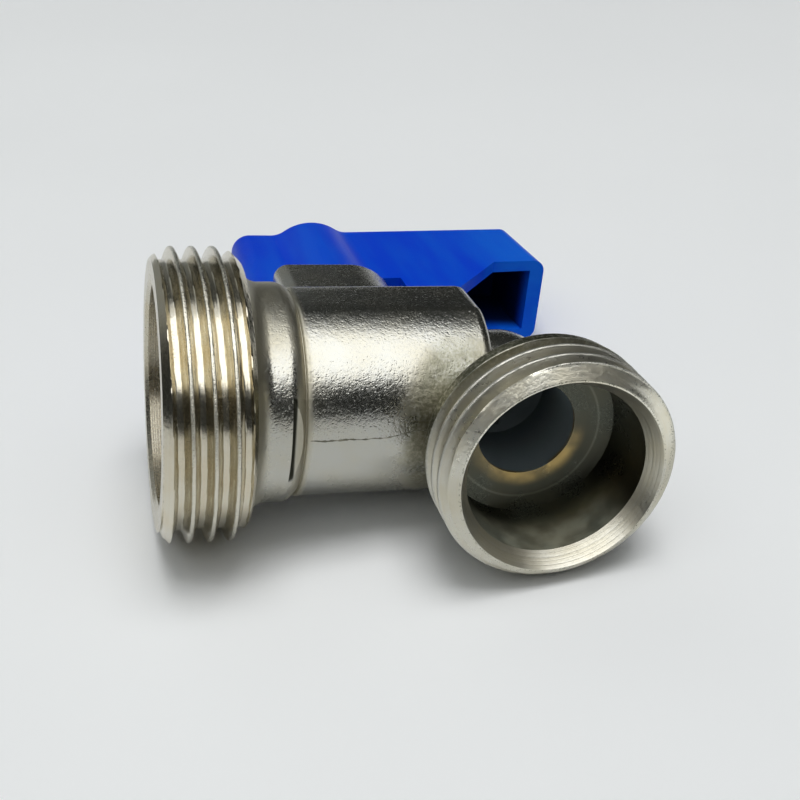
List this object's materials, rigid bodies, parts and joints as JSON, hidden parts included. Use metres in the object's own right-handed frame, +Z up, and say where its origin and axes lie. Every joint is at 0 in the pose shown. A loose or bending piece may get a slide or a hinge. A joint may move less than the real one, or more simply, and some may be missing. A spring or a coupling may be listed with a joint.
{
  "type": "washing machine valve",
  "caption": "Angled mini ball valve with a threaded hose outlet, a compression pipe inlet at right angles to it and a plastic lever that turns the ball to open or shut the water.",
  "frame": {"origin": "centre of the hose outlet's sealing face, on the outlet's axis", "axes": "+X from the outlet's face into the valve, +Y along the stem towards the lever, away from the pipe inlet, +Z up, square to the forging's flats"},
  "size_m": [0.0451, 0.0513, 0.0264],
  "materials": {
    "plated_body": "nickel plated over forged brass, blasted on the forged faces and turned on the threads",
    "ball_chrome": "polished chrome plate",
    "white_ptfe": "waxy white",
    "turned_brass": "turned, bare",
    "black_rubber": "matt black",
    "blue_plastic": "semi-gloss moulded blue",
    "zinc_steel": "bright zinc plate"
  },
  "bodies": {
    "fixed_body": {"valve_body": "plated_body", "inlet_seat": "white_ptfe", "outlet_seat": "white_ptfe", "seat_retainer": "turned_brass", "thrust_washer": "white_ptfe"},
    "turning_lever": {"handle": "blue_plastic", "handle_screw": "zinc_steel", "stem": "turned_brass", "lower_stem_ring": "black_rubber", "upper_stem_ring": "black_rubber", "ball": "ball_chrome"}
  },
  "joints": [
    {"name": "lever_turn", "type": "hinge", "parent": "fixed_body", "child": "turning_lever", "pos_m": [0.0204, 0, 0], "axis": [0, -1, 0], "range_deg": [0, 90]}
  ]
}
